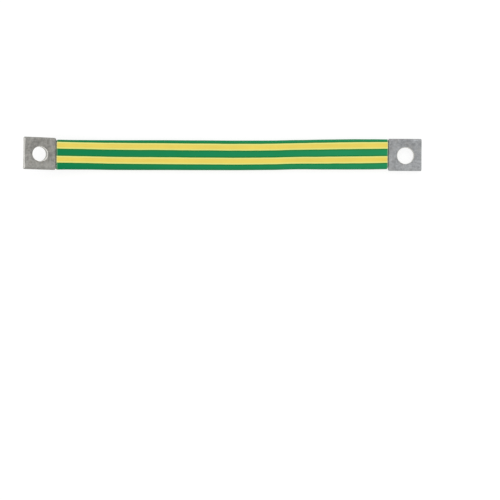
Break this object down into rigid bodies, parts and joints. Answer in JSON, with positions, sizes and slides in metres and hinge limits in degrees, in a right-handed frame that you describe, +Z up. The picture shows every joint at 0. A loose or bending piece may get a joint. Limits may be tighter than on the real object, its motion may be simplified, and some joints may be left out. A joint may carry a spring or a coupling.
{
  "type": "flexible busbar braid",
  "caption": "Flat flexible earthing braid: a green and yellow sleeve over tinned copper braid, with a flattened and punched tube ferrule as a bolting palm at each end.",
  "frame": {"origin": "middle of the part's box in plan, on the surface that the sleeve lies on", "axes": "+X along the braid to the flat right palm, +Y across it, +Z up, away from the surface"},
  "size_m": [0.2968, 0.0253, 0.0243],
  "materials": {
    "braid": "tinned copper wire, silver grey",
    "palm": "tin plated copper, matt and slightly mottled",
    "sleeve": "soft green sleeve with lengthwise yellow stripes, semi-gloss"
  },
  "bodies": {
    "root": {"copper_braid": "braid", "left_palm_ferrule": "palm", "right_palm_ferrule": "palm", "insulating_sleeve": "sleeve"}
  },
  "joints": []
}
